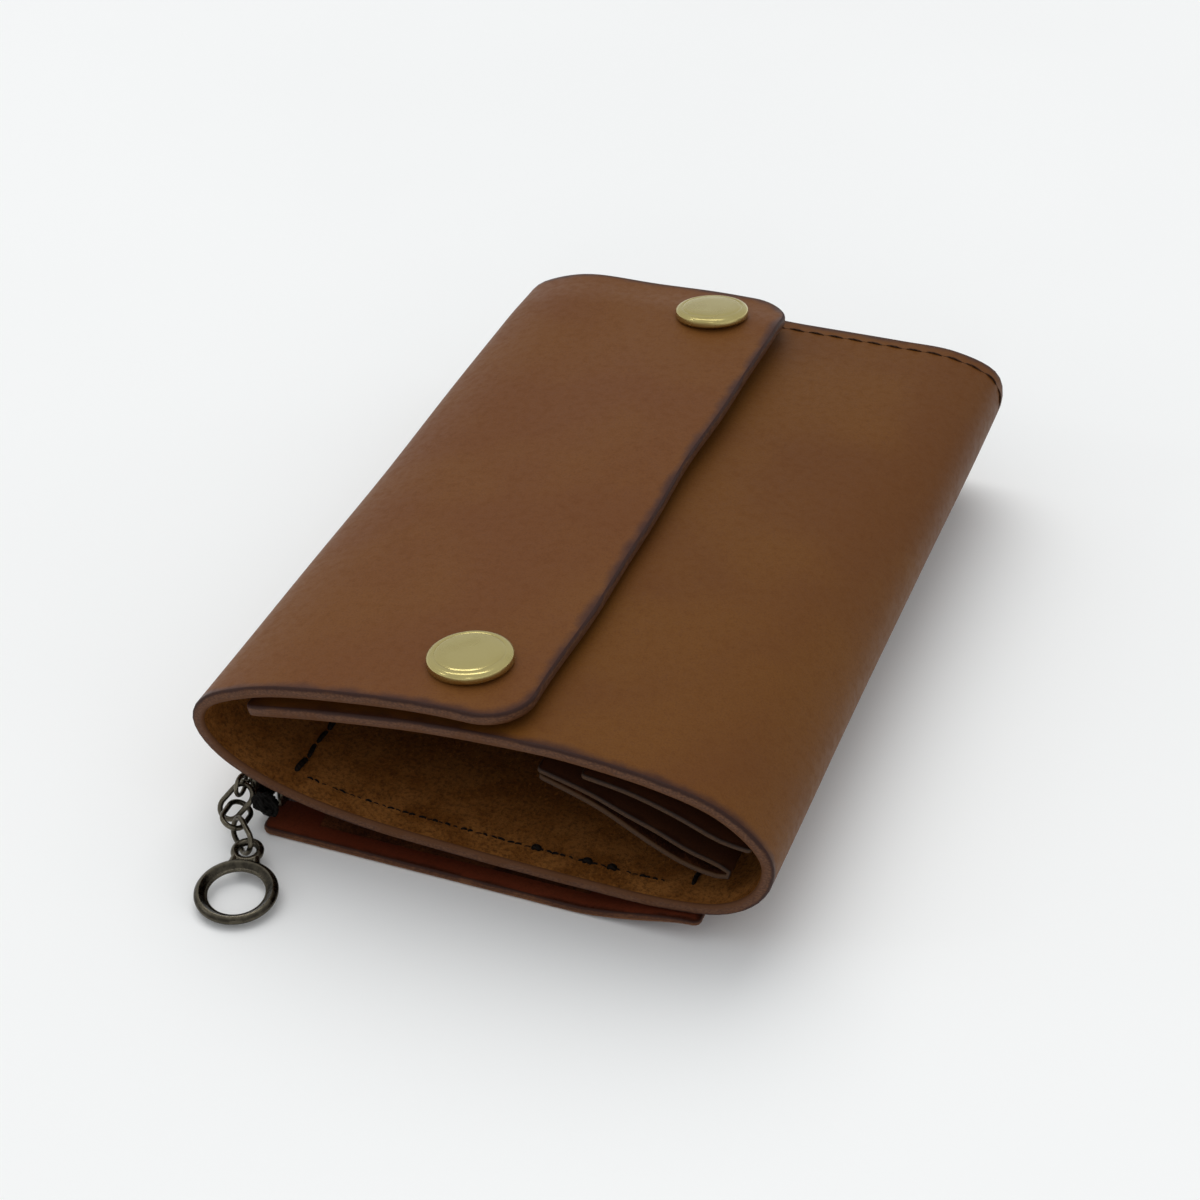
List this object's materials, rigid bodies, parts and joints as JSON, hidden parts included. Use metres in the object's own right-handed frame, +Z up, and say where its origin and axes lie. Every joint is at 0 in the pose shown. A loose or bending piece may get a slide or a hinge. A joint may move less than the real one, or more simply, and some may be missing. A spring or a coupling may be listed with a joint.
{
  "type": "leather snap key case",
  "caption": "Folding tan leather case for keys and cards with a two-snap flap, card sleeve, zipped pocket underneath and a pull ring on a short chain.",
  "frame": {"origin": "middle of the flat underside, which rests on a table", "axes": "+Z up; +Y along the case, away from the open end with the pull ring; +X towards the fold that hinges the front panel, so the flap's fold is at -X"},
  "size_m": [0.105, 0.1817, 0.0385],
  "materials": {
    "tan_leather": "smooth vegetable-tanned grain, semi-matt, darker burnished edges",
    "inner_leather": "thin dark brown leather, matt",
    "brass": "polished, lightly scratched",
    "dark_metal": "antique gunmetal plating, worn on the high points",
    "black_tape": "woven zip tape",
    "dark_thread": "waxed thread"
  },
  "bodies": {
    "case": {"back_panel": "tan_leather", "pocket_panel": "inner_leather", "pocket_gusset_near": "inner_leather", "pocket_gusset_far": "inner_leather", "zip_teeth_upper": "dark_metal", "zip_teeth_lower": "dark_metal", "zip_tape_upper": "black_tape", "zip_tape_lower": "black_tape", "zip_tape_end": "black_tape", "zip_end_stop": "dark_metal", "pocket_seam_thread_near": "dark_thread", "pocket_seam_thread_far": "dark_thread", "pocket_seam_thread_left": "dark_thread", "pocket_seam_thread_right": "dark_thread"},
    "fold_lower": {"flap_fold_lower_strip": "tan_leather"},
    "fold_upper": {"flap_fold_upper_strip": "tan_leather"},
    "flap": {"flap": "tan_leather", "snap_cap_near": "brass", "snap_socket_near": "brass", "snap_cap_far": "brass", "snap_socket_far": "brass"},
    "front": {"front_panel": "tan_leather", "card_divider": "inner_leather", "card_sleeve": "inner_leather", "front_seam_thread": "dark_thread", "snap_stud_near": "brass", "snap_post_near": "brass", "snap_stud_far": "brass", "snap_post_far": "brass"},
    "slider": {"zip_slider": "dark_metal"},
    "pull_loop": {"pull_loop": "dark_metal"},
    "link_1": {"chain_link_1": "dark_metal"},
    "link_2": {"chain_link_2": "dark_metal"},
    "link_3": {"chain_link_3": "dark_metal"},
    "ring": {"pull_ring": "dark_metal"}
  },
  "joints": [
    {"name": "fold_lower_bend", "type": "hinge", "parent": "case", "child": "fold_lower", "pos_m": [-0.0456, 0, 0.0122], "axis": [0, -1, 0], "range_deg": [0, 60]},
    {"name": "fold_upper_bend", "type": "hinge", "parent": "fold_lower", "child": "fold_upper", "pos_m": [-0.0524, 0, 0.0209], "axis": [0, -1, 0], "range_deg": [0, 60]},
    {"name": "flap_bend", "type": "hinge", "parent": "fold_upper", "child": "flap", "pos_m": [-0.0464, 0, 0.0286], "axis": [0, -1, 0], "range_deg": [0, 60]},
    {"name": "front_bend", "type": "hinge", "parent": "case", "child": "front", "pos_m": [0.0524, 0, 0.0174], "axis": [0, 1, 0], "range_deg": [0, 18]},
    {"name": "zip_slide", "type": "slide", "parent": "case", "child": "slider", "axis": [0, 1, 0], "range_m": [0, 0.132]},
    {"name": "pull_swing", "type": "hinge", "parent": "slider", "child": "pull_loop", "pos_m": [-0.045, -0.07405, 0.0073], "axis": [0, 0, -1], "range_deg": [0, 134]},
    {"name": "link_1_swing", "type": "hinge", "parent": "pull_loop", "child": "link_1", "pos_m": [-0.045, -0.0774, 0.0064], "axis": [0, 0, -1], "range_deg": [0, 52]},
    {"name": "link_2_swing", "type": "hinge", "parent": "link_1", "child": "link_2", "pos_m": [-0.04675, -0.0799, 0.00293], "axis": [0, 0, -1], "range_deg": [-18, 0]},
    {"name": "link_3_swing", "type": "hinge", "parent": "link_2", "child": "link_3", "pos_m": [-0.0436, -0.0837, 0.0046], "axis": [0, 0, -1], "range_deg": [-20, 0]},
    {"name": "ring_swing", "type": "hinge", "parent": "link_3", "child": "ring", "pos_m": [-0.0384, -0.0864, 0.00295], "axis": [0, 0, -1], "range_deg": [0, 42]}
  ],
  "couplings": [
    {"joint": "fold_upper_bend", "follows": "fold_lower_bend", "ratio": 1},
    {"joint": "flap_bend", "follows": "fold_lower_bend", "ratio": 1},
    {"joint": "front_bend", "follows": "fold_lower_bend", "ratio": 0.3},
    {"joint": "pull_swing", "follows": "zip_slide", "rad_per_m": 17.718},
    {"joint": "link_1_swing", "follows": "zip_slide", "rad_per_m": 6.8755},
    {"joint": "ring_swing", "follows": "zip_slide", "rad_per_m": 5.5533}
  ]
}
